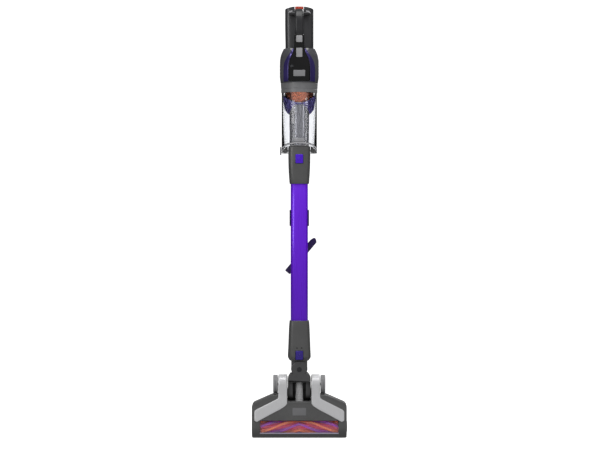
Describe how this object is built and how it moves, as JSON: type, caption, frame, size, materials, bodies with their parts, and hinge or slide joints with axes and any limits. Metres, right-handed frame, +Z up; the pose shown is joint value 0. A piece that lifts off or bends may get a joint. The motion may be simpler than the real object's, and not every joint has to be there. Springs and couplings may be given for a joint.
{
  "type": "cordless stick vacuum",
  "caption": "Cordless stick vacuum with hand unit, clear dust bin, slide-on battery, wand and swivelling powered floor head, hung from its wall boss.",
  "frame": {"origin": "centre of the flat rear face of the wall boss on the hand unit, where it rests on its wall bracket", "axes": "+Z up along the wand towards the battery, -Y the front with the console and the brush window, +X to the right as seen from the front"},
  "size_m": [0.2535, 0.1716, 1.1465],
  "materials": {
    "housing_shell": "gloss dark grey moulding",
    "console_black": "gloss black moulding",
    "handle_black": "fine satin black moulding",
    "dock_charcoal": "fine grained charcoal moulding",
    "battery_charcoal": "fine grained charcoal moulding",
    "arch_plum": "tinted metallic plum moulding",
    "grip_rubber": "soft textured grip",
    "button_grey": "light grey keys",
    "latch_red": "red-orange latch",
    "badge_silver": "satin silver plate",
    "lens_clear": "small clear indicator lens",
    "board_green": "circuit board",
    "collar_grey": "satin grey collar",
    "duct_grey": "satin grey inlet duct",
    "bin_clear": "clear bin wall",
    "copper_mesh": "copper-coloured cyclone mesh",
    "skirt_plum": "tinted plum skirt",
    "filter_white": "white pleated filter",
    "steel": "bright steel",
    "motor_steel": "motor can",
    "mount_rubber": "soft motor mount",
    "fan_grey": "impeller",
    "boss_black": "black wall boss",
    "catch_grey": "grey bin catch",
    "latch_dark": "dark door latch",
    "wand_violet": "vivid violet anodised look",
    "coupler_grey": "dark grey satin moulding",
    "button_violet": "violet release button",
    "button_indigo": "indigo release button",
    "saddle_plum": "dark plum clip",
    "bar_plum": "dark plum tool bar",
    "channel_dark": "dark cable channel",
    "neck_grey": "grey neck moulding",
    "yoke_grey": "dark grey yoke",
    "hose_grey": "ribbed light grey hose",
    "head_grey": "grey head casing",
    "sole_black": "black sole plate",
    "window_clear": "clear brush window",
    "roll_crimson": "crimson roll core",
    "bristle_orange": "orange bristles",
    "bristle_purple": "purple bristles",
    "cap_black": "black end cap",
    "belt_rubber": "toothed belt",
    "band_silver": "satin silver trim",
    "wheel_grey": "grey wheels",
    "roller_black": "small soft rollers"
  },
  "bodies": {
    "hand_unit": {"motor_housing": "housing_shell", "battery_dock": "dock_charcoal", "console_cover": "console_black", "side_arch": "arch_plum", "handle_frame": "handle_black", "grip_pad": "grip_rubber", "console_badge": "badge_silver", "indicator_lens": "lens_clear", "control_board": "board_green", "suction_motor": "motor_steel", "motor_mount": "mount_rubber", "collar_ring": "collar_grey", "pleated_filter": "filter_white", "cyclone_mesh": "copper_mesh", "cyclone_skirt": "skirt_plum", "inlet_duct": "duct_grey", "dust_bin": "bin_clear", "door_pin": "steel", "wall_boss": "boss_black"},
    "fan": {"fan_impeller": "fan_grey"},
    "power_key": {"power_button": "button_grey"},
    "speed_key": {"speed_button": "button_grey"},
    "battery": {"battery_pack": "battery_charcoal"},
    "battery_release": {"battery_latch": "latch_red"},
    "bin_lid": {"bin_door": "bin_clear"},
    "lid_latch": {"door_latch": "latch_dark"},
    "bin_release": {"bin_catch": "catch_grey"},
    "wand": {"wand_tube": "wand_violet", "cable_channel": "channel_dark", "upper_coupler": "coupler_grey", "lower_coupler": "coupler_grey", "caddy_saddle": "saddle_plum", "tool_bar_pin": "steel"},
    "upper_key": {"upper_release_button": "button_violet"},
    "lower_key": {"lower_release_button": "button_indigo"},
    "tool_holder": {"tool_bar": "bar_plum"},
    "neck": {"neck_stub": "neck_grey"},
    "yoke": {"neck_yoke": "yoke_grey", "neck_hose": "hose_grey", "swing_pin": "steel", "pitch_pin_right": "steel", "pitch_pin_left": "steel"},
    "head": {"head_casing": "head_grey", "sole_plate": "sole_black", "brush_window": "window_clear", "brush_end_cap": "cap_black", "brush_motor": "motor_steel", "drive_belt": "belt_rubber", "side_band_right": "band_silver", "side_band_left": "band_silver"},
    "brush_roll": {"brush_core": "roll_crimson", "bristle_row_1": "bristle_orange", "bristle_row_2": "bristle_purple", "bristle_row_3": "bristle_orange", "bristle_row_4": "bristle_purple"},
    "pulley": {"motor_pulley": "steel"},
    "right_wheel": {"wheel_right": "wheel_grey"},
    "left_wheel": {"wheel_left": "wheel_grey"},
    "right_roller": {"roller_right": "roller_black"},
    "left_roller": {"roller_left": "roller_black"}
  },
  "joints": [
    {"name": "power_press", "type": "slide", "parent": "hand_unit", "child": "power_key", "axis": [0, 0.9093, 0.4161], "range_m": [0, 0.0015], "stiffness_N_per_m": 300},
    {"name": "speed_press", "type": "slide", "parent": "hand_unit", "child": "speed_key", "axis": [0, 0.9093, 0.4161], "range_m": [0, 0.0015], "stiffness_N_per_m": 300},
    {"name": "fan_spin", "type": "hinge", "parent": "hand_unit", "child": "fan", "pos_m": [0, -0.0595, -0.0348], "axis": [0, 0, 1], "continuous": true},
    {"name": "battery_slide", "type": "slide", "parent": "hand_unit", "child": "battery", "axis": [0, 0, 1], "range_m": [0, 0.11]},
    {"name": "battery_latch_press", "type": "slide", "parent": "battery", "child": "battery_release", "axis": [0, 0, -1], "range_m": [0, 0.0012], "stiffness_N_per_m": 300},
    {"name": "bin_door_swing", "type": "hinge", "parent": "hand_unit", "child": "bin_lid", "pos_m": [0, -0.0085, -0.2283], "axis": [1, 0, 0], "range_deg": [0, 95]},
    {"name": "door_latch_swing", "type": "hinge", "parent": "hand_unit", "child": "lid_latch", "pos_m": [-0.0496, -0.0595, -0.2148], "axis": [0, 1, 0], "range_deg": [0, 18], "stiffness_Nm_per_rad": 0.05},
    {"name": "bin_catch_press", "type": "slide", "parent": "hand_unit", "child": "bin_release", "axis": [0, 0, -1], "range_m": [0, 0.004], "stiffness_N_per_m": 300},
    {"name": "wand_release", "type": "slide", "parent": "hand_unit", "child": "wand", "axis": [0, 0, -1], "range_m": [0, 0.06]},
    {"name": "upper_button_press", "type": "slide", "parent": "wand", "child": "upper_key", "axis": [0, 1, 0], "range_m": [0, 0.002], "stiffness_N_per_m": 300},
    {"name": "lower_button_press", "type": "slide", "parent": "wand", "child": "lower_key", "axis": [0, 1, 0], "range_m": [0, 0.003], "stiffness_N_per_m": 300},
    {"name": "tool_bar_swivel", "type": "hinge", "parent": "wand", "child": "tool_holder", "pos_m": [0, -0.0475, -0.5098], "axis": [0, 1, 0], "range_deg": [-40, 50]},
    {"name": "head_release", "type": "slide", "parent": "wand", "child": "neck", "axis": [0, 0, -1], "range_m": [0, 0.055]},
    {"name": "neck_swing", "type": "hinge", "parent": "neck", "child": "yoke", "pos_m": [0, -0.0775, -0.8038], "axis": [0, 1, 0], "range_deg": [-40, 40]},
    {"name": "neck_pitch", "type": "hinge", "parent": "yoke", "child": "head", "pos_m": [0, -0.0705, -0.8678], "axis": [-1, 0, 0], "range_deg": [0, 92], "deforming": ["neck_hose"]},
    {"name": "brush_spin", "type": "hinge", "parent": "head", "child": "brush_roll", "pos_m": [0, -0.0695, -0.9578], "axis": [1, 0, 0], "continuous": true},
    {"name": "motor_pulley_spin", "type": "hinge", "parent": "head", "child": "pulley", "pos_m": [0, -0.0715, -0.9118], "axis": [1, 0, 0], "continuous": true},
    {"name": "wheel_right_spin", "type": "hinge", "parent": "head", "child": "right_wheel", "pos_m": [0.063, -0.0705, -0.8448], "axis": [1, 0, 0], "continuous": true},
    {"name": "wheel_left_spin", "type": "hinge", "parent": "head", "child": "left_wheel", "pos_m": [-0.063, -0.0705, -0.8448], "axis": [1, 0, 0], "continuous": true},
    {"name": "roller_right_spin", "type": "hinge", "parent": "head", "child": "right_roller", "pos_m": [0.0815, -0.0505, -0.9233], "axis": [1, 0, 0], "continuous": true},
    {"name": "roller_left_spin", "type": "hinge", "parent": "head", "child": "left_roller", "pos_m": [-0.0815, -0.0505, -0.9233], "axis": [1, 0, 0], "continuous": true}
  ],
  "couplings": [
    {"joint": "motor_pulley_spin", "follows": "brush_spin", "ratio": 1.5}
  ]
}
